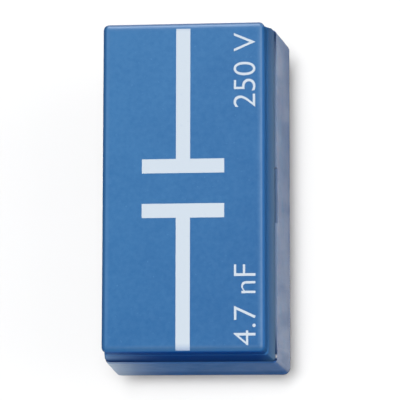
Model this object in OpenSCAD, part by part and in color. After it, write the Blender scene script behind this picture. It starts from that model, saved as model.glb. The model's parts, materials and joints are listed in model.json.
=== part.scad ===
// Plug-in capacitor element for an experiment board.
// A blue cover with a printed symbol closes a clear base, which holds an axial
// capacitor and two spring plugs. Lengths are in millimetres.
// X is the width, Y the length and Z up, from the middle of the seating face.

/* [Housing] */
// Length of the housing at its foot
body_l = 50; // [44:0.5:60]
// Width of the housing at its foot
body_w = 26.4; // [24:0.2:36]
// Height of the closed housing
body_h = 26; // [24:0.5:34]
// Height at which the cover meets the base
parting_h = 15.5; // [14:0.25:17.5]
// Thickness of the side walls
wall = 2; // [1.8:0.1:2.4]
// Thickness of the roof of the cover
roof_t = 2; // [1.5:0.1:3]
// Thickness of the floor of the base
floor_t = 2.5; // [2.2:0.1:3.5]
// How far each wall of the base leans in from foot to joint
base_lean = 0.85; // [0.3:0.05:1.1]
// Radius of the corners of the base at its foot
foot_corner_r = 1.05; // [0.5:0.05:1.4]
// Radius of the corners of the base at the joint
joint_corner_r = 0.6; // [0.5:0.05:0.9]
// Chamfer round the foot and the upper edge of the base
base_chamfer = 0.25; // [0.1:0.05:0.4]

/* [Cover] */
// How far the cover stands back from the base
cover_step = 0.25; // [0.1:0.05:0.4]
// Height of the upright band round the rim
rim_h = 2.4; // [1:0.1:3]
// Height of the skirt, with the rim
skirt_h = 6.4; // [4:0.2:8]
// How far the skirt leans in from rim to waist
skirt_lean = 0.5; // [0.2:0.05:0.8]
// Radius of the upright corners of the skirt
skirt_corner_r = 0.5; // [0.35:0.05:0.8]
// Ledge where the crown rises from the skirt
waist_ledge = 0.05; // [0.03:0.01:0.15]
// Chamfer round the upper edge of the skirt
waist_chamfer = 0.2; // [0.15:0.05:0.3]
// How far the crown leans in from waist to roof
crown_lean = 0.1; // [0.05:0.05:0.3]
// Radius of the corners of the flat roof
cover_corner_r = 0.1; // [0.05:0.05:0.6]
// Radius of the edge round the roof
roof_edge_r = 0.7; // [0.4:0.05:1]
// Chamfer under the outer edge of the rim
rim_chamfer = 0.25; // [0.1:0.05:0.3]

/* [Lap joint] */
// Radius of the upright corners inside the housing
inner_corner_r = 0.8; // [0.5:0.1:1.5]
// Height of the lip on the base
lip_h = 2.2; // [1.5:0.1:3]
// Thickness of the lip
lip_t = 0.8; // [0.6:0.05:1]
// Room beside the lip
lip_gap = 0.1; // [0.05:0.05:0.2]
// Room above the lip
lip_head = 0.2; // [0.1:0.05:0.4]
// Length of each snap bead
bead_l = 6; // [3:0.5:8]
// Radius of each snap bead
bead_r = 0.3; // [0.25:0.05:0.4]
// How far each bead stands out of the lip
bead_out = 0.15; // [0.1:0.01:0.2]
// Distance of each bead from the middle of the long side
bead_y = 14; // [10:0.5:17]
// Length of the pry notch in the middle of each long side
notch_l = 8; // [5:0.2:12]
// Height of the pry notch
notch_h = 1.3; // [0.8:0.1:2]
// Depth of the pry notch
notch_depth = 0.8; // [0.4:0.1:0.9]

/* [Plugs] */
// Distance between the plugs
plug_pitch = 19; // [17:0.5:22]
// Diameter of the collar
collar_d = 4; // [3.6:0.1:4.4]
// Length of the collar
collar_l = 3; // [2:0.25:4]
// Reach of the plug below the seating face
plug_l = 16; // [13:0.5:20]
// Diameter of the core under the spring
core_d = 2.4; // [2:0.1:2.6]
// Diameter of the tip
tip_d = 3.8; // [3.4:0.1:4]
// Length of the tip
tip_l = 2.8; // [2.2:0.1:3.5]
// Chamfer at the ends of the collar and the tip that face the spring
plug_chamfer = 0.25; // [0.1:0.05:0.4]
// Width of the hex flange across its flats
flange_af = 6; // [5:0.25:7]
// Thickness of the hex flange
flange_t = 1.6; // [1.2:0.1:2]
// Diameter of the stud
stud_d = 3; // [2.5:0.1:3.5]
// How far the stud stands above the nut
stud_proud = 0.6; // [0.3:0.1:1]
// Chamfer at the end of the stud
stud_chamfer = 0.35; // [0.2:0.05:0.5]

/* [Contact spring] */
// Number of slats round the spring
slat_count = 6; // [4:1:8]
// Width of the slots between the slats
slot_w = 0.5; // [0.3:0.05:0.7]
// Diameter over the relaxed slats
bulge_d = 4.3; // [4.1:0.05:4.6]
// Thickness of the spring sheet
spring_t = 0.2; // [0.15:0.01:0.25]
// Length of the plain band at each end
band_l = 1.1; // [0.8:0.1:1.6]
// Room between spring and core
spring_gap = 0.05; // [0.03:0.01:0.1]
// Room at each end of the spring
spring_end_gap = 0.1; // [0.05:0.05:0.3]

/* [Fastening] */
// Diameter of the bosses round the plugs
boss_d = 9; // [8.5:0.25:11]
// Height of the bosses above the floor
boss_h = 1.5; // [1:0.1:2.5]
// Room between the flange and its pocket
pocket_gap = 0.1; // [0.05:0.05:0.2]
// Room round the stud in boss, tag and washer
stud_gap = 0.1; // [0.05:0.05:0.2]
// Room between the threads of stud and nut
thread_gap = 0.03; // [0.01:0.01:0.05]
// Diameter of the ring of the solder tag
tag_d = 7.4; // [6.5:0.1:9]
// Thickness of the solder tag
tag_t = 0.5; // [0.3:0.05:0.8]
// Width of the tongue of the solder tag
tongue_w = 2.6; // [2:0.1:3.2]
// Distance of the eye beyond the edge of the boss
eye_out = 1.5; // [1.2:0.1:2.5]
// Diameter of the pad round the eye
pad_d = 3.4; // [3:0.1:4.2]
// Diameter of the eye
eye_d = 1.1; // [0.9:0.05:1.3]
// Outer diameter of the lock washer
washer_d = 6; // [5.2:0.1:6.6]
// Thickness of the lock washer
washer_t = 0.7; // [0.5:0.05:1]
// Width of the split in the lock washer
split_w = 0.6; // [0.4:0.05:1]
// Lean of the split in the lock washer, in degrees
split_lean = 30; // [15:5:40]
// Width of the nut across its flats
nut_af = 5.5; // [5:0.1:6.2]
// Height of the nut
nut_h = 2.4; // [1.8:0.1:3]

/* [Capacitor] */
// Diameter of the capacitor
cap_d = 6.2; // [5:0.1:8]
// Length of the capacitor
cap_l = 14; // [10:0.5:16]
// Room between the studs' ends and the underside of the capacitor
cap_lift = 0.6; // [0.4:0.1:1.5]
// Thickness of the tape round the winding
wrap_t = 0.2; // [0.1:0.05:0.3]
// Depth of the resin at each end
seal_t = 1.2; // [0.8:0.1:1.6]
// Height of the resin's rise round the wire
seal_rise = 0.35; // [0.1:0.05:0.5]
// Diameter of the wires
lead_d = 0.7; // [0.5:0.05:0.8]
// Radius of the bend, at the middle of the wire
bend_r = 1.3; // [0.8:0.1:2]
// Length of wire below the tag
lead_tail = 0.6; // [0.3:0.1:1]
// Height of the solder above the tag
solder_h = 1.3; // [0.8:0.1:2]
// Diameter of the solder on the tag
solder_d = 2.6; // [2:0.1:2.9]
// Depth of the solder below the tag
solder_drop = 0.3; // [0.2:0.05:0.5]
// Width of the solder's edge below the tag, beyond the eye
solder_edge = 0.35; // [0.2:0.05:0.5]

/* [Printed symbol] */
// Length of each plate of the symbol
plate_l = 11.6; // [8:0.2:16]
// Width of the plates
plate_w = 2; // [1:0.1:3]
// Gap between the plates
plate_gap = 4.3; // [2:0.1:6]
// Width of the stems
stem_w = 2; // [1:0.1:3]
// Distance of the middle of the symbol behind the middle of the roof
symbol_y = -0.3; // [-0.4:0.05:0.4]
// How far the stems run onto the rounded edge of the roof
stem_run = 0.15; // [0:0.05:0.3]
// Thickness of the ink
ink_t = 0.05; // [0.03:0.01:0.1]

/* [Hidden] */

front = -1;
rear = 1;
corner_fn = 32;
turned_fn = 96;

// Insets are measured in from the foot of the base
cavity_inset = base_lean + wall;
lip_inset = cavity_inset - lip_t;
rebate_inset = lip_inset - lip_gap;
rim_inset = base_lean + cover_step;
waist_inset = rim_inset + skirt_lean;
ledge_inset = waist_inset + waist_ledge;
crown_inset = ledge_inset + crown_lean;
room_inset = crown_inset + wall;
waist_z = parting_h + skirt_h;
crown_post_inset = crown_inset + roof_edge_r + cover_corner_r;
lip_corner_r = inner_corner_r + lip_t;
edge_steps = 6;

// Depth to which the crown is rooted in the skirt
root_depth = 0.7;

// Heights of the stack on each stud
boss_z = floor_t + boss_h;
washer_z = boss_z + tag_t;
nut_z = washer_z + washer_t;
stud_z = nut_z + nut_h + stud_proud;
axis_z = stud_z + cap_lift + cap_d / 2;

plug_y = plug_pitch / 2;
tag_reach = boss_d / 2 + eye_out;
eye_y = plug_y + tag_reach;
seal_y = cap_l / 2 - seal_t;

// The spring lies between the collar and the tip
spring_top_z = -collar_l - spring_end_gap;
spring_l = plug_l - collar_l - tip_l - 2 * spring_end_gap;
band_r = core_d / 2 + spring_gap;
slat_l = spring_l - 2 * band_l;
bulge_rise = bulge_d / 2 - band_r - spring_t;
bulge_steps = 16;
tip_steps = 8;
fillet_steps = 5;

// Small overshoot that keeps cuts clean
over = 0.1;

// Diameter over the corners of a hexagon
function across_corners(af) = af / cos(30);

// Rise of a slat at a share of its length, as a smooth wave
function slat_rise(share) = bulge_rise * (1 - cos(360 * share)) / 2;

// Block with the given wall profile, a list of insets and heights from the bottom up.
// Its four corners are turned posts with the same profile.
module profiled_block(post_inset, profile) {
    top = len(profile) - 1;
    turned = concat(
        [[0, profile[0][1]]],
        [for (p = profile) [post_inset - p[0], p[1]]],
        [[0, profile[top][1]]]
    );
    hull()
        for (x = [-1, 1], y = [-1, 1])
            translate([x * (body_w / 2 - post_inset), y * (body_l / 2 - post_inset), 0])
                rotate_extrude($fn = corner_fn)
                    polygon(turned);
}

// Four corner posts of a block, each a cone frustum, a given inset in from the foot
module corner_posts(inset, low_z, height, low_r, high_r) {
    post_in = inset + max(low_r, high_r);
    for (x = [-1, 1], y = [-1, 1])
        translate([x * (body_w / 2 - post_in), y * (body_l / 2 - post_in), low_z])
            cylinder(h = height, r1 = low_r, r2 = high_r, $fn = corner_fn);
}

// Outline of the housing, a given inset in from the foot
module outline(inset, corner_r) {
    offset(r = corner_r, $fn = corner_fn)
        square([body_w - 2 * (inset + corner_r), body_l - 2 * (inset + corner_r)], center = true);
}

// Upright block between two heights
module straight_block(low_z, high_z, inset, corner_r) {
    translate([0, 0, low_z])
        linear_extrude(height = high_z - low_z)
            outline(inset, corner_r);
}

module ring(outer_d, inner_d, height) {
    difference() {
        cylinder(h = height, d = outer_d, $fn = turned_fn);
        translate([0, 0, -over])
            cylinder(h = height + 2 * over, d = inner_d, $fn = turned_fn);
    }
}

module hexagon(af, height) {
    cylinder(h = height, d = across_corners(af), $fn = 6);
}

// Short rods along Y at the four snap beads
module bead_rod(radius, length) {
    for (side = [-1, 1], end = [front, rear])
        translate([
            side * (body_w / 2 - lip_inset - bead_r + bead_out),
            end * bead_y - length / 2,
            parting_h + lip_h / 2
        ])
            rotate([-90, 0, 0])
                cylinder(h = length, r = radius, $fn = corner_fn);
}

// Upper half of the cover, with a rounded edge round the roof
module crown_form() {
    roof_z = body_h - roof_edge_r;
    roof_edge = [
        for (step = [0 : edge_steps])
            [
                crown_inset + roof_edge_r * (1 - cos(90 * step / edge_steps)),
                roof_z + roof_edge_r * sin(90 * step / edge_steps)
            ]
    ];
    profiled_block(crown_post_inset, concat([[ledge_inset, waist_z - root_depth]], roof_edge));
}

// Lower half of the cover: an upright rim, then walls that lean in to the waist
module skirt_form() {
    upright_z = parting_h + rim_chamfer;
    upright_h = rim_h - rim_chamfer;
    edge_z = waist_z - waist_chamfer;
    hull() {
        corner_posts(rim_inset, parting_h, rim_chamfer, skirt_corner_r - rim_chamfer, skirt_corner_r);
        corner_posts(rim_inset, upright_z, upright_h, skirt_corner_r, skirt_corner_r);
        corner_posts(waist_inset, edge_z, waist_chamfer, skirt_corner_r, skirt_corner_r - waist_chamfer);
    }
}

module cover() {
    color("steelblue")
        difference() {
            union() {
                crown_form();
                skirt_form();
            }
            straight_block(parting_h - over, body_h - roof_t, room_inset, inner_corner_r);
            straight_block(
                parting_h - over, parting_h + lip_h + lip_head, rebate_inset, lip_corner_r + lip_gap
            );
            bead_rod(bead_r + lip_gap, bead_l + 2 * lip_gap);
        }
}

// Leaning walls with a small chamfer at foot and upper edge, and corners that widen towards the foot
module base_form() {
    edge_z = parting_h - base_chamfer;
    hull() {
        corner_posts(0, 0, base_chamfer, foot_corner_r - base_chamfer, foot_corner_r);
        corner_posts(base_lean, edge_z, base_chamfer, joint_corner_r, joint_corner_r - base_chamfer);
    }
}

module pry_notches() {
    for (side = [-1, 1])
        translate([side * (body_w / 2 - base_lean), 0, parting_h - notch_h / 2])
            cube([2 * notch_depth, notch_l, notch_h + over], center = true);
}

module base_housing() {
    color("lightsteelblue")
        difference() {
            union() {
                difference() {
                    union() {
                        base_form();
                        straight_block(parting_h - lip_h, parting_h + lip_h, lip_inset, lip_corner_r);
                    }
                    straight_block(floor_t, parting_h + lip_h + over, cavity_inset, inner_corner_r);
                }
                for (end = [front, rear])
                    translate([0, end * plug_y, floor_t / 2])
                        cylinder(h = boss_z - floor_t / 2, d = boss_d, $fn = turned_fn);
                bead_rod(bead_r, bead_l);
            }
            for (end = [front, rear])
                translate([0, end * plug_y, 0]) {
                    translate([0, 0, -over])
                        cylinder(h = boss_z + 2 * over, d = stud_d + 2 * stud_gap, $fn = turned_fn);
                    translate([0, 0, -over])
                        hexagon(flange_af + 2 * pocket_gap, flange_t + over);
                }
            pry_notches();
        }
}

// Flat shape of the symbol: two plates and two stems
module symbol_shape() {
    stem_end = body_l / 2 - crown_inset - roof_edge_r + stem_run;
    plate_y = (plate_gap + plate_w) / 2;
    for (end = [front, rear]) {
        translate([0, end * plate_y])
            square([plate_l, plate_w], center = true);
        translate([0, end * (stem_end + plate_gap / 2) / 2])
            square([stem_w, stem_end - plate_gap / 2], center = true);
    }
}

// Skin of ink on the roof, which follows the rounded edge where a stem reaches it
module printed_symbol() {
    color("white")
        difference() {
            intersection() {
                translate([0, symbol_y, body_h - roof_edge_r])
                    linear_extrude(height = 2 * roof_edge_r)
                        symbol_shape();
                translate([0, 0, ink_t])
                    crown_form();
            }
            crown_form();
        }
}

// Turned plug: chamfered stud, hex flange, collar, core and rounded tip
module plug_pin(end) {
    tip_r = tip_d / 2;
    tip_arc = [
        for (step = [0 : tip_steps])
            [tip_r * cos(90 * step / tip_steps), -plug_l + tip_r * (1 - sin(90 * step / tip_steps))]
    ];
    turned = concat(
        [
            [0, stud_z],
            [stud_d / 2 - stud_chamfer, stud_z],
            [stud_d / 2, stud_z - stud_chamfer],
            [stud_d / 2, 0],
            [collar_d / 2, 0],
            [collar_d / 2, -collar_l + plug_chamfer],
            [collar_d / 2 - plug_chamfer, -collar_l],
            [core_d / 2, -collar_l],
            [core_d / 2, -plug_l + tip_l],
            [tip_r - plug_chamfer, -plug_l + tip_l],
            [tip_r, -plug_l + tip_l - plug_chamfer]
        ],
        tip_arc
    );
    color("silver")
        translate([0, end * plug_y, 0]) {
            rotate_extrude($fn = turned_fn)
                polygon(turned);
            hexagon(flange_af, flange_t);
        }
}

// Lantern spring: bulged slats between two bands, with one slot cut right through
module contact_spring(end) {
    slats = [
        for (step = [0 : bulge_steps])
            [slat_rise(step / bulge_steps), -band_l - slat_l * step / bulge_steps]
    ];
    sheet = concat([[0, 0]], slats, [[0, -spring_l]]);
    inner = [for (p = sheet) [band_r + p.x, p.y]];
    outer = [for (i = [len(sheet) - 1 : -1 : 0]) [band_r + spring_t + sheet[i].x, sheet[i].y]];
    color("gold")
        translate([0, end * plug_y, spring_top_z])
            difference() {
                rotate_extrude($fn = turned_fn)
                    polygon(concat(inner, outer));
                for (slat = [0 : slat_count - 1])
                    rotate(360 * slat / slat_count)
                        translate([0, -slot_w / 2, -band_l - slat_l])
                            cube([bulge_d, slot_w, slat_l]);
                translate([0, -slot_w / 2, -spring_l - over])
                    cube([bulge_d, slot_w, spring_l + 2 * over]);
            }
}

// Stamped tag: ring on the boss, tongue and a pad with an eye for the wire
module solder_tag(end) {
    color("gainsboro")
        translate([0, end * plug_y, boss_z])
            linear_extrude(height = tag_t)
                difference() {
                    union() {
                        circle(d = tag_d, $fn = turned_fn);
                        translate([0, end * tag_reach / 2])
                            square([tongue_w, tag_reach], center = true);
                        translate([0, end * tag_reach])
                            circle(d = pad_d, $fn = turned_fn);
                    }
                    circle(d = stud_d + 2 * stud_gap, $fn = turned_fn);
                    translate([0, end * tag_reach])
                        circle(d = eye_d, $fn = turned_fn);
                }
}

module lock_washer(end) {
    color("darkgray")
        translate([0, end * plug_y, washer_z])
            difference() {
                ring(washer_d, stud_d + 2 * stud_gap, washer_t);
                translate([washer_d / 2, 0, washer_t / 2])
                    rotate([split_lean, 0, 0])
                        cube([washer_d, split_w, 4 * washer_t], center = true);
            }
}

// Nut with its upper and lower corners turned off
module hex_nut(end) {
    corner_r = across_corners(nut_af) / 2;
    face_r = nut_af / 2;
    bevel_h = (corner_r - face_r) * tan(30);
    color("lightgray")
        translate([0, end * plug_y, nut_z])
            difference() {
                intersection() {
                    hexagon(nut_af, nut_h);
                    rotate_extrude($fn = turned_fn)
                        polygon([
                            [0, 0],
                            [face_r, 0],
                            [corner_r, bevel_h],
                            [corner_r, nut_h - bevel_h],
                            [face_r, nut_h],
                            [0, nut_h]
                        ]);
                }
                translate([0, 0, -over])
                    cylinder(h = nut_h + 2 * over, d = stud_d + 2 * thread_gap, $fn = turned_fn);
            }
}

// Tape-wrapped winding with a recess for the resin at each end
module capacitor_body() {
    color("goldenrod")
        translate([0, 0, axis_z])
            rotate([90, 0, 0])
                difference() {
                    cylinder(h = cap_l, d = cap_d, center = true, $fn = turned_fn);
                    for (end = [front, rear])
                        translate([0, 0, end * (seal_y + (seal_t + over) / 2)])
                            cylinder(
                                h = seal_t + over, d = cap_d - 2 * wrap_t, center = true, $fn = turned_fn
                            );
                }
}

// Resin that fills one end and rises round the wire
module end_seal(end) {
    seal_r = cap_d / 2 - wrap_t;
    color("peru")
        translate([0, end * seal_y, axis_z])
            rotate([-90 * end, 0, 0])
                rotate_extrude($fn = turned_fn)
                    polygon([
                        [lead_d / 2, 0],
                        [seal_r, 0],
                        [seal_r, seal_t],
                        [lead_d / 2 + seal_rise, seal_t],
                        [lead_d / 2, seal_t + seal_rise]
                    ]);
}

// Wire from the winding, out over the nut and down through the eye of the tag
module lead(end) {
    tail_z = boss_z - lead_tail;
    color("whitesmoke") {
        translate([0, end * seal_y, axis_z])
            rotate([-90 * end, 0, 0])
                cylinder(h = eye_y - bend_r - seal_y, d = lead_d, $fn = corner_fn);
        translate([0, end * (eye_y - bend_r), axis_z - bend_r])
            rotate([90, 0, end * 90])
                rotate_extrude(angle = 90, $fn = turned_fn)
                    translate([bend_r, 0])
                        circle(d = lead_d, $fn = corner_fn);
        translate([0, end * eye_y, tail_z])
            cylinder(h = axis_z - bend_r - tail_z, d = lead_d, $fn = corner_fn);
    }
}

// Solder that fills the eye, with a hollow fillet above and a bead below the tag
module solder_joint(end) {
    eye_r = eye_d / 2;
    lead_r = lead_d / 2;
    spread = solder_d / 2 - lead_r;
    fillet = [
        for (step = [0 : fillet_steps])
            [
                lead_r + spread * (1 - sin(90 * step / fillet_steps)),
                tag_t + solder_h * (1 - cos(90 * step / fillet_steps))
            ]
    ];
    color("silver")
        translate([0, end * eye_y, boss_z])
            rotate_extrude($fn = turned_fn)
                polygon(concat(
                    [
                        [lead_r, -solder_drop],
                        [eye_r, -solder_drop],
                        [eye_r + solder_edge, 0],
                        [eye_r, 0],
                        [eye_r, tag_t]
                    ],
                    fillet
                ));
}

cover();
base_housing();
printed_symbol();
plug_pin(front);  // plug_pin_front
plug_pin(rear);  // plug_pin_rear
contact_spring(front);  // contact_spring_front
contact_spring(rear);  // contact_spring_rear
solder_tag(front);  // solder_tag_front
solder_tag(rear);  // solder_tag_rear
lock_washer(front);  // lock_washer_front
lock_washer(rear);  // lock_washer_rear
hex_nut(front);  // hex_nut_front
hex_nut(rear);  // hex_nut_rear
capacitor_body();
end_seal(front);  // end_seal_front
end_seal(rear);  // end_seal_rear
lead(front);  // lead_front
lead(rear);  // lead_rear
solder_joint(front);  // solder_joint_front
solder_joint(rear);  // solder_joint_rear
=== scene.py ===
import json
import math

import bmesh
import bpy
from mathutils import Matrix, Vector


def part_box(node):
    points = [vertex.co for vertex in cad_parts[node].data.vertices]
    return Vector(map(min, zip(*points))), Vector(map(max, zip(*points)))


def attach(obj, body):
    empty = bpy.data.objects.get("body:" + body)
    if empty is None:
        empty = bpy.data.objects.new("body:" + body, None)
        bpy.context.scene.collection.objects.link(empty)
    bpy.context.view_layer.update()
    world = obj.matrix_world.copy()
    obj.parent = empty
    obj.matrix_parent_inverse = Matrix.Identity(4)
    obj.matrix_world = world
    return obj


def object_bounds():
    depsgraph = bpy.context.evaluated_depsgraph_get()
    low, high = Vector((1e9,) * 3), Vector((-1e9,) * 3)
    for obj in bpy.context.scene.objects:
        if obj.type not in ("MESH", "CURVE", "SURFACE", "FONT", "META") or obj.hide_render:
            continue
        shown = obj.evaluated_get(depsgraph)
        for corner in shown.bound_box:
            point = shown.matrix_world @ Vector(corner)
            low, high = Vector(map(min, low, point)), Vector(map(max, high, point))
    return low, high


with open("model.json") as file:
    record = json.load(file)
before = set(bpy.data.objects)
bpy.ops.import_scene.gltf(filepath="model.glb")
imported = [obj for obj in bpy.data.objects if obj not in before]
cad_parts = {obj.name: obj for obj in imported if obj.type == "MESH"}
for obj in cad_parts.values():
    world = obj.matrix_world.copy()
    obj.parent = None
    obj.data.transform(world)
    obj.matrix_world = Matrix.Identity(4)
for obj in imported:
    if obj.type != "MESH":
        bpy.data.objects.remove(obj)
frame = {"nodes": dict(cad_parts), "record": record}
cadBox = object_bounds()
nodes = frame["nodes"]
mm = 0.001  # the part's sizes below are in millimetres, and this makes metres of them
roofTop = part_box("cover")[1].z / mm
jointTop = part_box("cover")[0].z / mm  # where the cover sits on the base
coverHalf = [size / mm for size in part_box("cover")[1].to_2d()]
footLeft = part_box("base_housing")[0].x / mm
noiseRange = (0.3, 0.7)  # most values of a noise lie between these
print("frame loaded:", len(nodes), "nodes")


# Shader wiring

class Wire:
    # one socket of a node tree, with the operators that the materials use
    def __init__(self, tree, socket=None):
        self.tree = tree
        self.socket = socket

    def add(self, kind, settings, inputs, out=0):
        made = self.tree.nodes.new(kind)
        for name, value in settings.items():
            setattr(made, name, value)
        for name, value in inputs.items():
            if isinstance(value, Wire):
                self.tree.links.new(value.socket, made.inputs[name])
            else:
                made.inputs[name].default_value = value
        return Wire(self.tree, made.outputs[out])

    def maths(self, operation, first, second=0.0):
        return self.add("ShaderNodeMath", {"operation": operation}, {0: first, 1: second})

    def __add__(self, other):
        return self.maths("ADD", self, other)

    def __radd__(self, other):
        return self.maths("ADD", other, self)

    def __sub__(self, other):
        return self.maths("SUBTRACT", self, other)

    def __rsub__(self, other):
        return self.maths("SUBTRACT", other, self)

    def __mul__(self, other):
        return self.maths("MULTIPLY", self, other)

    def __rmul__(self, other):
        return self.maths("MULTIPLY", other, self)

    def __abs__(self):
        return self.maths("ABSOLUTE", self)


def rgb(red, green, blue):
    return (red, green, blue, 1.0)


def blank(name):
    # a new material with its Principled node, and a wire to build on
    material = bpy.data.materials.new(name)
    material.use_nodes = True
    shader = material.node_tree.nodes["Principled BSDF"]
    return material, shader, Wire(material.node_tree)


def plug(wire, shader, name):
    wire.tree.links.new(wire.socket, shader.inputs[name])


def fixed(shader, values):
    for name, value in values.items():
        shader.inputs[name].default_value = value


def millimetres(wire, scale=(1, 1, 1)):
    # object coordinates in millimetres, so that a texture's scale is per millimetre
    spot = wire.add("ShaderNodeTexCoord", {}, {}, "Object")
    perMetre = tuple(share / mm for share in scale)
    return wire.add("ShaderNodeMapping", {}, {"Vector": spot, "Scale": perMetre})


def noise(wire, place, scale, detail, roughness=0.55):
    inputs = {"Vector": place, "Scale": scale, "Detail": detail, "Roughness": roughness}
    return wire.add("ShaderNodeTexNoise", {}, inputs, "Fac")


def spread(wire, value, low, high, toLow=0.0, toHigh=1.0):
    # the part of value between low and high, stretched and clipped
    inputs = {"Value": value, "From Min": low, "From Max": high, "To Min": toLow, "To Max": toHigh}
    return wire.add("ShaderNodeMapRange", {}, inputs)


def overNoise(wire, value, toLow=0.0, toHigh=1.0):
    # a noise, stretched over all the values from toLow to toHigh
    return spread(wire, value, *noiseRange, toLow, toHigh)


def mixed(first, second, shares):
    return first * shares[0] + second * shares[1]


def blendColour(wire, share, first, second):
    # a Mix node's colours are its sockets 6 and 7, and its mixed colour is output 2
    return wire.add("ShaderNodeMix", {"data_type": "RGBA"}, {0: share, 6: first, 7: second}, 2)


def part(wire, vector, axis):
    return wire.add("ShaderNodeSeparateXYZ", {}, {"Vector": vector}, axis)


def facing(wire, axis):
    # how far a face is turned along an axis, from -1 to 1
    return part(wire, wire.add("ShaderNodeTexCoord", {}, {}, "Normal"), axis)


endTurn = (0.35, 0.65)  # square of a wall's turn along the length, between long wall and short wall


def facesEnd(wire):
    # 1 on the short walls at the front and rear end, 0 on the long walls
    along = facing(wire, "Y")
    return spread(wire, along * along, *endTurn)


def leftReflection(wire, across, run):
    # a painted reflection of the lit floor, strongest at the left edge and gone after the run
    haze = spread(wire, across, footLeft, footLeft + run, 1.0, 0.0)
    falling = haze * haze
    return falling * falling


def bump(wire, height, strength, depth):
    inputs = {"Height": height, "Strength": strength, "Distance": depth * mm}
    return wire.add("ShaderNodeBump", {}, inputs)


# Finishes

# a noise is given by its scale per millimetre, its detail and, where it isn't 0.55, its roughness
coverFinish = {
    "deep": rgb(0.0010, 0.0865, 0.258),  # the two blues of the roof
    "pale": rgb(0.0180, 0.130, 0.320),
    "cloud": (0.22, 4.0),
    "mottle": (1.3, 5.0, 0.65),
    "toneShares": (0.4, 0.6),  # of cloud and mottle
    "toneRange": (0.32, 0.68),
    "toneSwing": 0.6,
    "driftSlant": 1.8,  # painted light falloff: a little paler towards the rear left corner
    "driftRun": (-54.0, 36.0),
    "fleck": rgb(0.08, 0.22, 0.44),
    "flecks": (2.4, 1.0),
    "fleckRange": (0.74, 0.8),  # only the peaks of that noise show
    "fleckShare": 0.5,
    "wear": rgb(0.046, 0.152, 0.335),  # greyer and paler along the roof's edges: partly worn, partly a painted highlight
    "frontEdgeShade": rgb(0.031, 0.108, 0.242),  # painted shade along the front edge, which turns away from the light
    "wearAndLightBand": (1.75, 1.3),  # millimetres inside the rim's outline over which that sets in
    "wearShare": (0.5, 0.9),
    "rearSkin": (0.45, 0.10),  # millimetres below the roof where its colour ends at the rear edge
    "frontSkin": (0.50, 0.0),  # the same at the front edge, reaching up to the roof so that the short sides' painted shade covers the edge
    "sideSkin": (0.24, 0.02),  # and at the long edges
    "edgeTurn": 0.3,  # how far an edge is turned to the rear or front where it counts as fully so
    "leftEdgeShade": rgb(0.024, 0.088, 0.215),  # painted shade on the left edge of the roof, which turns away from the light; it also has no gloss coat there
    "leftEdgeShadeBand": (0.8, 0.5),  # millimetres below the roof over which that sets in
    "leftTurn": (-0.2, -0.5),  # and how far the edge is turned to the left there
    "endWall": rgb(0.002, 0.050, 0.250),  # painted shade: the short sides are deeper in colour than the grained roof
    # painted shade low on the short sides, near the joint
    "endRimShade": rgb(0.002, 0.028, 0.132),
    "rimBand": (1.0, 8.5),  # millimetres above the joint over which the painted shade low on the short sides gives way
    "endReflection": rgb(0.26, 0.46, 0.78),  # painted reflection of the lit floor, paler at the left end of the short sides
    "endReflectionRun": 15.2,
    "endReflectionBand": (2.4, 4.6),  # millimetres above the joint over which the painted reflection sets in
    "endReflectionStop": (5.6, 12.4),  # and over which it ends
    "longCrown": rgb(0.028, 0.122, 0.325),  # the long sides
    # greyer low band of the long sides: a painted reflection of the floor
    "longSkirt": rgb(0.046, 0.134, 0.265),
    "skirtBand": (2.5, 7.5),  # millimetres above the joint between the skirt's painted reflection and the crown's colour
    "rearShade": rgb(0.014, 0.080, 0.220),  # painted shade towards the rear end of the long sides
    "rearRun": (17.5, 24.0),
    "rearShare": 0.75,
    "cornerRun": 2.6,  # how far the long sides' colour is carried round the right corners, painting them as lit
    "cornerShare": 0.8,
    "roughness": (0.45, 0.6),
    "sheen": (0.015, 1.0),  # gloss coat on the walls and on the roof
    "sheenSwing": (0.85, 1.0),
    "skirtSheen": 0.19,  # more of it low on the long sides, polished by fingers
    "rearGloss": (0.50, 0.20),  # millimetres below the roof where its coat ends at the rear edge
    "frontGloss": (0.25, 0.05),  # the same at the front edge
    "sideGloss": (0.17, 0.03),  # and at the long edges
    "coatRoughness": 0.3,
    "coatIor": 2.0,
    "grain": (7.0, 2.0),  # of the mould
    "grainCloud": 0.5,
    "grainStrength": 0.5,
    "grainDepth": 0.006,
}


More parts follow.
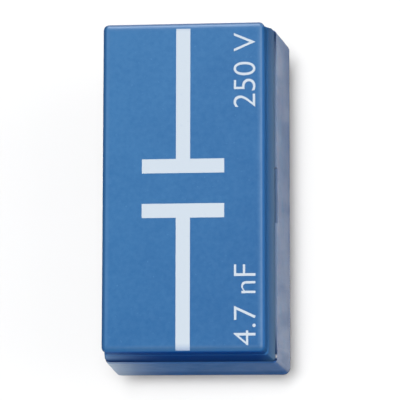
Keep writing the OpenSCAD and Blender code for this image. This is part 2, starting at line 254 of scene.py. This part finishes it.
def coverPlastic():
    look = coverFinish
    material, shader, wire = blank("cover plastic")
    place = millimetres(wire)
    across, along, height = (part(wire, place, axis) for axis in "XYZ")
    turned = facing(wire, "Y")
    rear = spread(wire, turned, 0.0, look["edgeTurn"])
    front = spread(wire, turned, 0.0, -look["edgeTurn"])
    level = 1 - rear - front

    def belowRoof(band):
        deep, shallow = look[band]
        return spread(wire, height, roofTop - deep, roofTop - shallow)

    def roofEdge(rearBand, frontBand, sideBand):
        # the roof with its rounded edges, which ends at another height on each kind of side
        return belowRoof(rearBand) * rear + belowRoof(frontBand) * front + belowRoof(sideBand) * level

    def aboveJoint(band):
        low, high = look[band]
        return spread(wire, height, jointTop + low, jointTop + high)

    def nearEdge(distance, half):
        outer, inner = look["wearAndLightBand"]
        return spread(wire, distance, half - outer, half - inner)

    cloud = noise(wire, place, *look["cloud"])
    mottle = noise(wire, place, *look["mottle"])
    swing = look["toneSwing"]
    # painted light falloff across the roof, paler towards the rear left corner
    drift = spread(wire, along - across * look["driftSlant"], *look["driftRun"])
    tone = spread(wire, mixed(cloud, mottle, look["toneShares"]), *look["toneRange"])
    roof = blendColour(wire, tone * swing - swing / 2 + drift, look["deep"], look["pale"])
    fleck = spread(wire, noise(wire, place, *look["flecks"]), *look["fleckRange"])
    roof = blendColour(wire, fleck * look["fleckShare"], roof, look["fleck"])
    # worn and painted highlight band along the roof's edges, with painted shade along the front edge
    longEdge = nearEdge(abs(across), coverHalf[0])
    edge = wire.maths("MAXIMUM", longEdge, nearEdge(abs(along), coverHalf[1]))
    # painted shade along the front edge
    wear = blendColour(wire, nearEdge(0 - along, coverHalf[1]), look["wear"], look["frontEdgeShade"])
    roof = blendColour(wire, edge * overNoise(wire, cloud, *look["wearShare"]), roof, wear)

    # painted shade low on the short sides, near the joint
    endWall = blendColour(wire, aboveJoint("rimBand"), look["endRimShade"], look["endWall"])
    # painted reflection of the lit floor at the left end of the short sides
    haze = leftReflection(wire, across, look["endReflectionRun"])
    haze = haze * aboveJoint("endReflectionBand") * (1 - aboveJoint("endReflectionStop"))
    endWall = blendColour(wire, haze, endWall, look["endReflection"])
    # the skirt carries a painted reflection of the floor
    crown = aboveJoint("skirtBand")
    longWall = blendColour(wire, crown, look["longSkirt"], look["longCrown"])
    # painted shade towards the rear end of the long sides
    shaded = spread(wire, along, *look["rearRun"]) * look["rearShare"]
    longWall = blendColour(wire, shaded, longWall, look["rearShade"])
    # painted light on the right corners of the short sides
    corner = spread(wire, across, coverHalf[0] - look["cornerRun"], coverHalf[0])
    endWall = blendColour(wire, corner * corner * look["cornerShare"], endWall, longWall)
    end = facesEnd(wire)
    # the short sides carry painted shade
    side = blendColour(wire, end, longWall, endWall)

    skin = roofEdge("rearSkin", "frontSkin", "sideSkin")
    # painted shade on the left edge of the roof
    leftShade = spread(wire, facing(wire, "X"), *look["leftTurn"]) * belowRoof("leftEdgeShadeBand")
    colour = blendColour(wire, skin, side, roof)
    plug(blendColour(wire, leftShade, colour, look["leftEdgeShade"]), shader, "Base Color")
    plug(overNoise(wire, mottle, *look["roughness"]), shader, "Roughness")
    low, high = look["sheen"]
    gloss = roofEdge("rearGloss", "frontGloss", "sideGloss")
    polished = (1 - end) * (1 - crown) * (look["skirtSheen"] - low)
    sheen = gloss * (1 - leftShade) * (high - low) + low + polished
    plug(sheen * overNoise(wire, mottle, *look["sheenSwing"]), shader, "Coat Weight")
    grain = noise(wire, place, *look["grain"]) + cloud * look["grainCloud"]
    plug(bump(wire, grain, look["grainStrength"], look["grainDepth"]), shader, "Normal")
    fixed(shader, {"Specular IOR Level": 0.0})  # all gloss is in the coat
    fixed(shader, {"Coat Roughness": look["coatRoughness"], "Coat IOR": look["coatIor"]})
    return material


baseFinish = {
    "cool": rgb(0.090, 0.230, 0.465),  # the two tones of the long walls
    "mauve": rgb(0.142, 0.198, 0.385),
    "longFoot": rgb(0.090, 0.168, 0.340),  # greyer towards the foot
    "cloud": (0.16, 2.0),
    "haze": (0.35, 4.0, 0.65),
    "toneShares": (0.5, 0.5),  # of cloud and haze
    "toneRange": (0.36, 0.64),
    "endCool": rgb(0.056, 0.178, 0.445),  # painted shade: the short walls are darker and bluer than the long walls
    "endMauve": rgb(0.104, 0.218, 0.468),
    "endShares": (0.65, 0.5),  # of that tone, and of a drift to the right
    "endFoot": rgb(0.024, 0.112, 0.335),  # their lower part is deeper, a painted shade
    "footBand": (3.0, 6.5),  # millimetres above the foot over which that ends
    "floorReflection": rgb(0.80, 0.91, 1.0),  # painted reflection of the lit floor at the left end of the short walls, which also makes them less see-through there
    "floorReflectionRun": 16.4,
    "floorReflectionLean": 0.11,  # how much nearer to the left the painted reflection ends for each millimetre further down
    "lip": rgb(0.145, 0.21, 0.34),  # painted shade in the joint under the cover
    "lipBand": (0.35, 0.2),  # millimetres below the joint over which it sets in
    "lipRun": (18.5, 23.0),  # from the middle, where the painted shade on the long walls darkens to the ends' colour
    "endJointShade": rgb(0.008, 0.034, 0.11),  # deeper painted shade in the joint at both ends
    "endJointShadeBand": (0.06, 0.0),  # millimetres below the joint over which it sets in there
    "endLedgeShade": rgb(0.028, 0.105, 0.30),  # painted shade on the bevel below it on the short walls
    "ledgeFloorReflection": 0.4,  # how much of the painted reflection shows on that bevel
    "ledgeStart": (-0.1, 0.0),  # millimetres outside the cover over which the bevel's colour sets in
    "nick": rgb(0.50, 0.50, 0.54),  # painted glint on the upper edge near the front right corner
    "nickAt": (0.15, 0.70, 0.10),  # from the cover's side, its front and the joint
    "nickSize": (0.36, 0.08),
    "slot": rgb(0.085, 0.145, 0.265),  # shade in the pry notch of each long wall
    "slotEnd": rgb(0.30, 0.36, 0.50),  # painted light on its two ends
    "slotSill": rgb(0.125, 0.180, 0.295),  # a lighter painted shade on the outer edge of its sill
    "slotSize": (4.05, 1.4),  # half its length and its height
    "slotEdge": (0.08, 0.22),  # millimetres outside the cover over which the shade gives way to the sill
    "outline": rgb(0.05, 0.06, 0.14),  # dark edge round the foot
    "outlineBand": (0.3, 0.6),
    "solid": (0.78, 0.90),  # how much each wall hides what is behind it
    "roughness": (0.3, 0.45),
    "gloss": (0.03, 0.50),  # coat on the short and on the long walls
    "dulled": (0.05, 0.30),  # taken off at the foot of the long walls, at the front and at the rear end
    "dulledRun": (-20.0, 25.0),
    "streaks": (0.4, 4.0, 0.65),  # in the coat of the long walls
    "streakScale": (1.0, 1.0, 0.15),  # drawn out upwards
    "streakRange": (0.38, 0.62),
    "streakGloss": (0.71, 1.34),
    "coatRoughness": 0.22,
    "grain": (5.0, 2.0),
    "grainStrength": 0.4,
    "grainDepth": 0.008,
}


def basePlastic():
    look = baseFinish
    material, shader, wire = blank("frosted base plastic")
    place = millimetres(wire)
    across, along, height = (part(wire, place, axis) for axis in "XYZ")
    farAlong = abs(along)
    fromFoot = spread(wire, height, 0.0, jointTop)

    def belowJoint(band):
        low, high = look[band]
        return spread(wire, height, jointTop - low, jointTop - high)

    def outsideCover(distance, half, band):
        low, high = look[band]
        return spread(wire, distance, half + low, half + high)

    half, tall = look["slotSize"]
    inSlot = wire.maths("LESS_THAN", farAlong, half)
    inSlot = inSlot * wire.maths("GREATER_THAN", height, jointTop - tall)
    turnedEnd = facesEnd(wire)
    end = turnedEnd * (1 - inSlot)

    cloud = noise(wire, place, *look["cloud"])
    haze = noise(wire, place, *look["haze"])
    tone = spread(wire, mixed(cloud, haze, look["toneShares"]), *look["toneRange"])
    longWall = blendColour(wire, tone, look["cool"], look["mauve"])
    longWall = blendColour(wire, fromFoot, look["longFoot"], longWall)
    toRight = spread(wire, across, 0.0, -footLeft)
    endTone = mixed(tone, toRight, look["endShares"])
    # painted shade on the short walls
    endWall = blendColour(wire, endTone, look["endCool"], look["endMauve"])
    # painted shade on the lower part of the short walls
    endWall = blendColour(wire, spread(wire, height, *look["footBand"]), look["endFoot"], endWall)
    # painted reflection of the lit floor at the left end of the short walls
    leaning = across + (jointTop - height) * look["floorReflectionLean"]
    floorReflection = leftReflection(wire, leaning, look["floorReflectionRun"])
    endWall = blendColour(wire, floorReflection, endWall, look["floorReflection"])
    wall = blendColour(wire, end, longWall, endWall)

    # painted shade in the joint under the cover
    lip = blendColour(wire, spread(wire, farAlong, *look["lipRun"]), look["lip"], look["endJointShade"])
    # painted shade on the bevel of the short walls, with some of the painted reflection
    ledge = blendColour(wire, floorReflection * look["ledgeFloorReflection"], look["endLedgeShade"], look["floorReflection"])
    ledge = blendColour(wire, belowJoint("endJointShadeBand"), ledge, look["endJointShade"])
    lip = blendColour(wire, outsideCover(farAlong, coverHalf[1], "ledgeStart"), lip, ledge)
    wall = blendColour(wire, belowJoint("lipBand"), wall, lip)
    # painted glint near the front right corner of the upper edge
    right, back, down = look["nickAt"]
    spot = (coverHalf[0] + right, back - coverHalf[1], jointTop - down)
    away = wire.add("ShaderNodeVectorMath", {"operation": "DISTANCE"}, {0: place, 1: spot}, "Value")
    wall = blendColour(wire, spread(wire, away, *look["nickSize"]), wall, look["nick"])
    onSill = outsideCover(abs(across), coverHalf[0], "slotEdge")
    # painted shade in the pry notch, lighter on its sill and ends
    slot = blendColour(wire, onSill, look["slot"], look["slotSill"])
    slot = blendColour(wire, turnedEnd, slot, look["slotEnd"])
    wall = blendColour(wire, inSlot, wall, slot)
    aboveOutline = spread(wire, height, *look["outlineBand"])
    plug(blendColour(wire, aboveOutline, look["outline"], wall), shader, "Base Color")

    solid = overNoise(wire, haze, *look["solid"])
    # the short walls are less see-through where the painted reflection lies
    plug(solid + floorReflection * end * (1 - solid), shader, "Alpha")
    plug(overNoise(wire, cloud, *look["roughness"]), shader, "Roughness")
    dulled = spread(wire, along, *look["dulledRun"], *look["dulled"]) * (1 - fromFoot)
    low, high = look["gloss"]
    polished = (1 - end) * (high - low - dulled) * aboveOutline
    streak = noise(wire, millimetres(wire, look["streakScale"]), *look["streaks"])
    streak = spread(wire, streak, *look["streakRange"], *look["streakGloss"])
    plug(polished * streak + low, shader, "Coat Weight")
    grain = noise(wire, place, *look["grain"])
    plug(bump(wire, grain, look["grainStrength"], look["grainDepth"]), shader, "Normal")
    fixed(shader, {"Specular IOR Level": 0.0})  # all gloss is in the coat
    fixed(shader, {"Coat Roughness": look["coatRoughness"]})
    return material


inkFinish = {
    "white": rgb(0.455, 0.515, 0.580),
    "thin": rgb(0.30, 0.38, 0.51),
    "fade": (22.0, 22.9),  # along the length, where the print thins out at both ends
    "patches": (1.8, 4.0),  # thin spots
    "patchRange": (0.62, 0.8),
    "patchShare": 0.25,
    "film": (3.0, 3.0),
    "roughness": (0.45, 0.62),
    "bumpStrength": 0.3,
    "bumpDepth": 0.004,
}


def printInk():
    look = inkFinish
    material, shader, wire = blank("printed ink")
    place = millimetres(wire)
    thin = spread(wire, abs(part(wire, place, "Y")), *look["fade"])
    patch = spread(wire, noise(wire, place, *look["patches"]), *look["patchRange"])
    shade = thin + patch * look["patchShare"]
    plug(blendColour(wire, shade, look["white"], look["thin"]), shader, "Base Color")
    film = noise(wire, place, *look["film"])
    plug(overNoise(wire, film, *look["roughness"]), shader, "Roughness")
    plug(bump(wire, film, look["bumpStrength"], look["bumpDepth"]), shader, "Normal")
    return material


wrapFinish = {
    "deep": rgb(0.66, 0.36, 0.03),
    "bright": rgb(0.80, 0.50, 0.06),
    "turns": {"Scale": 0.35, "Distortion": 1.2, "Detail": 2.0},  # waves where the tape goes round
    "cloud": (0.8, 3.0),
    "toneShares": (0.7, 0.3),  # of cloud and turns
    "roughness": (0.18, 0.32),
    "coat": {"Coat Weight": 0.4, "Coat Roughness": 0.12},
    "bumpStrength": 0.3,
    "bumpDepth": 0.02,
}


def wrapTape():
    look = wrapFinish
    material, shader, wire = blank("yellow wrap tape")
    place = millimetres(wire)
    waves = {"Vector": place, **look["turns"]}
    turn = wire.add("ShaderNodeTexWave", {"bands_direction": "Y"}, waves, "Fac")
    cloud = noise(wire, place, *look["cloud"])
    tone = overNoise(wire, mixed(cloud, turn, look["toneShares"]))
    plug(blendColour(wire, tone, look["deep"], look["bright"]), shader, "Base Color")
    plug(overNoise(wire, cloud, *look["roughness"]), shader, "Roughness")
    plug(bump(wire, turn + cloud, look["bumpStrength"], look["bumpDepth"]), shader, "Normal")
    fixed(shader, look["coat"])
    return material


resinFinish = {
    "deep": rgb(0.30, 0.12, 0.03),
    "bright": rgb(0.46, 0.22, 0.06),
    "cloud": (1.1, 4.0),
    "roughness": (0.12, 0.26),
    "bumpStrength": 0.4,
    "bumpDepth": 0.05,
}


def castResin():
    look = resinFinish
    material, shader, wire = blank("cast resin")
    cloud = noise(wire, millimetres(wire), *look["cloud"])
    plug(blendColour(wire, overNoise(wire, cloud), look["deep"], look["bright"]), shader, "Base Color")
    plug(overNoise(wire, cloud, *look["roughness"]), shader, "Roughness")
    plug(bump(wire, cloud, look["bumpStrength"], look["bumpDepth"]), shader, "Normal")
    return material


# the marks on a metal are drawn out along the axes with the smaller scale
metals = {
    "nickel_plating": {
        "name": "nickel plating",
        "bright": rgb(0.70, 0.67, 0.62),
        "dull": rgb(0.58, 0.55, 0.50),
        "roughness": (0.16, 0.30),
        "markScale": (0.4, 0.4, 6.0),
        "marks": (2.0, 3.0),
        "bumpDepth": 0.006,
    },
    "spring_bronze": {
        "name": "spring bronze",
        "bright": rgb(0.80, 0.58, 0.30),
        "dull": rgb(0.62, 0.42, 0.20),
        "roughness": (0.20, 0.36),
        "markScale": (5.0, 5.0, 0.4),
        "marks": (1.6, 3.0),
        "bumpDepth": 0.005,
    },
    "tinned_brass": {
        "name": "tinned brass",
        "bright": rgb(0.66, 0.66, 0.63),
        "dull": rgb(0.52, 0.52, 0.50),
        "roughness": (0.28, 0.46),
        "markScale": (4.0, 0.5, 1.0),
        "marks": (1.5, 3.0),
        "bumpDepth": 0.006,
    },
    "zinc_steel": {
        "name": "zinc plated steel",
        "bright": rgb(0.58, 0.60, 0.62),
        "dull": rgb(0.44, 0.46, 0.49),
        "roughness": (0.26, 0.42),
        "markScale": (1.0, 1.0, 1.0),
        "marks": (1.8, 3.0),
        "bumpDepth": 0.008,
    },
    "tinned_wire": {
        "name": "tinned wire",
        "bright": rgb(0.72, 0.72, 0.70),
        "dull": rgb(0.58, 0.58, 0.56),
        "roughness": (0.22, 0.36),
        "markScale": (4.0, 0.5, 4.0),
        "marks": (1.5, 3.0),
        "bumpDepth": 0.004,
    },
    "solder": {
        "name": "soft solder",
        "bright": rgb(0.62, 0.63, 0.64),
        "dull": rgb(0.46, 0.47, 0.49),
        "roughness": (0.24, 0.44),
        "markScale": (1.0, 1.0, 1.0),
        "marks": (2.6, 3.0),
        "bumpDepth": 0.012,
    },
}
allMetals = {
    "stain": (0.6, 3.0),
    "toneShares": (0.6, 0.4),  # of stain and marks
    "toneRange": (0.35, 0.65),
    "bumpStrength": 0.35,
}


def metal(look):
    material, shader, wire = blank(look["name"])
    marks = noise(wire, millimetres(wire, look["markScale"]), *look["marks"])
    stain = noise(wire, millimetres(wire), *allMetals["stain"])
    tone = spread(wire, mixed(stain, marks, allMetals["toneShares"]), *allMetals["toneRange"])
    plug(blendColour(wire, tone, look["bright"], look["dull"]), shader, "Base Color")
    plug(overNoise(wire, marks, *look["roughness"]), shader, "Roughness")
    plug(bump(wire, marks, allMetals["bumpStrength"], look["bumpDepth"]), shader, "Normal")
    fixed(shader, {"Metallic": 1.0})
    return material


finishes = {
    "blue_cover_plastic": coverPlastic(),
    "clear_base_plastic": basePlastic(),
    "white_ink": printInk(),
    "yellow_wrap": wrapTape(),
    "resin_seal": castResin(),
}
for slot, look in metals.items():
    finishes[slot] = metal(look)
for row in frame["record"]["subparts"]:
    mesh = nodes[row["node"]].data
    mesh.materials.clear()
    mesh.materials.append(finishes[row["material_slot"]])
print("finishes:", len(finishes), "on", len(nodes), "nodes")


# Pieces that Blender adds

def addPiece(name, mesh, slot):
    piece = bpy.data.objects.new(name, mesh)
    bpy.context.scene.collection.objects.link(piece)
    mesh.materials.clear()
    mesh.materials.append(finishes[slot])
    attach(piece, "root")


ratingPrint = {
    # the words of each piece, and where they start and end along the length
    "words": {"rating_voltage": ("250 V", 11.05, 21.65), "rating_value": ("4.7 nF", -22.33, -11.07)},
    "baseline": 10.19,  # from the middle line to the foot of the letters
    "capHeight": 3.07,
    "ink": 0.05,
    "thinning": -0.009,  # takes weight off the strokes, for letters one unit high
    "curveSteps": 6,
}


def ratingText(name, words, start, end):
    # letters as a thin solid on the roof, read from the front end to the rear end
    look = ratingPrint
    font = bpy.data.curves.new(name, "FONT")
    font.body = words
    font.resolution_u = look["curveSteps"]
    font.extrude = look["ink"] / 2
    font.offset = look["thinning"]
    writing = bpy.data.objects.new(name + "_outline", font)
    bpy.context.scene.collection.objects.link(writing)
    bpy.context.view_layer.update()
    shown = writing.evaluated_get(bpy.context.evaluated_depsgraph_get())
    mesh = bpy.data.meshes.new_from_object(shown)
    bpy.data.objects.remove(writing)
    mesh.name = name
    left = min(point.co.x for point in mesh.vertices)
    right = max(point.co.x for point in mesh.vertices)
    tall = max(point.co.y for point in mesh.vertices)
    size = Matrix.Diagonal(((end - start) / (right - left), look["capHeight"] / tall, 1, 1))
    turn = Matrix.Rotation(math.radians(90), 4, "Z")
    seat = Matrix.Translation((look["baseline"], start, roofTop + look["ink"] / 2))
    mesh.transform(Matrix.Scale(mm, 4) @ seat @ turn @ size @ Matrix.Translation((-left, 0, 0)))
    addPiece(name, mesh, "white_ink")


for name, (words, start, end) in ratingPrint["words"].items():
    ratingText(name, words, start, end)
print("rating print:", len(ratingPrint["words"]), "pieces")


# Stage, in metres apart from the camera's place

floorPlan = {
    "size": 6.0,
    "pale": rgb(0.755, 0.755, 0.755),
    "cloud": (0.01, 2.0),
    "roughness": (0.7, 0.85),
    "specular": 0.1,
}


def paleFloor():
    plan = floorPlan
    material, shader, wire = blank("pale floor")
    cloud = noise(wire, millimetres(wire), *plan["cloud"])
    plug(overNoise(wire, cloud, *plan["roughness"]), shader, "Roughness")
    fixed(shader, {"Base Color": plan["pale"], "Specular IOR Level": plan["specular"]})
    form = bmesh.new()
    bmesh.ops.create_grid(form, x_segments=1, y_segments=1, size=plan["size"] / 2)
    bmesh.ops.translate(form, verts=form.verts, vec=(0, 0, cadBox[0].z))
    mesh = bpy.data.meshes.new("floor")
    form.to_mesh(mesh)
    form.free()
    mesh.materials.append(material)
    floor = bpy.data.objects.new("floor", mesh)
    bpy.context.scene.collection.objects.link(floor)


# where each lamp stands, its size, its power in watts, and whether it lights and is mirrored
lamps = {
    "key": ((0.034, -0.034, 1.2), (0.27, 0.22), 16.6, True, False),
    "ceiling": ((0.0, 0.0, 1.0), (0.9, 0.9), 0.3, True, False),
    "overhead": ((0.0, 0.12, 1.0), (0.9, 0.9), 0.45, True, True),
    "behind": ((0.0, 0.85, 0.60), (0.7, 1.0), 6.2, False, True),
    "right": ((0.65, 0.05, 0.75), (0.6, 0.8), 1.4, True, True),
    "glint": ((0.65, 0.05, 0.75), (0.6, 0.8), 5.0, False, True),
    "left": ((-0.7, 0.0, 0.75), (0.6, 0.8), 0.6, True, False),
    "side": ((1.0, 0.10, 0.35), (0.5, 0.5), 0.5, True, False),
}


def softLight(name, at, size, power, lights, mirrored):
    lamp = bpy.data.lights.new(name, "AREA")
    lamp.shape = "RECTANGLE"
    lamp.size, lamp.size_y = size
    lamp.energy = power
    stand = bpy.data.objects.new(name, lamp)
    stand.location = at
    stand.rotation_euler = (-Vector(at)).to_track_quat("-Z", "Y").to_euler()
    stand.visible_camera = False
    stand.visible_diffuse = lights
    stand.visible_glossy = mirrored
    bpy.context.scene.collection.objects.link(stand)


skyPlan = {"Color": rgb(1, 1, 1), "Strength": 0.08}


def surroundings():
    scene = bpy.context.scene
    scene.world = bpy.data.worlds.new("studio")
    scene.world.use_nodes = True
    fixed(scene.world.node_tree.nodes["Background"], skyPlan)
    scene.view_settings.view_transform = "Standard"
    scene.view_settings.look = "None"


cameraPlan = {
    "at": (37.18, -44.22, 350.0),  # in millimetres
    "looksAt": (1.284, -0.630, 15.6),
    "roll": 0.0016,
    "lens": 211.71,
    "sensor": 36.0,
    "clip": (0.01, 20.0),
}


def photoCamera():
    plan = cameraPlan
    data = bpy.data.cameras.new("camera")
    data.lens = plan["lens"]
    data.sensor_width = plan["sensor"]
    data.clip_start, data.clip_end = plan["clip"]
    stand = bpy.data.objects.new("camera", data)
    at, target = Vector(plan["at"]) * mm, Vector(plan["looksAt"]) * mm
    ahead = (target - at).normalized()
    side = ahead.cross(Vector((0, 1, 0))).normalized()
    up = side.cross(ahead)
    turned = Matrix((side, up, -ahead)).transposed() @ Matrix.Rotation(plan["roll"], 3, "Z")
    stand.matrix_world = Matrix.Translation(at) @ turned.to_4x4()
    bpy.context.scene.collection.objects.link(stand)
    bpy.context.scene.camera = stand


paleFloor()
for name, plan in lamps.items():
    softLight(name, *plan)
surroundings()
photoCamera()
print("stage: floor,", len(lamps), "lamps and camera")
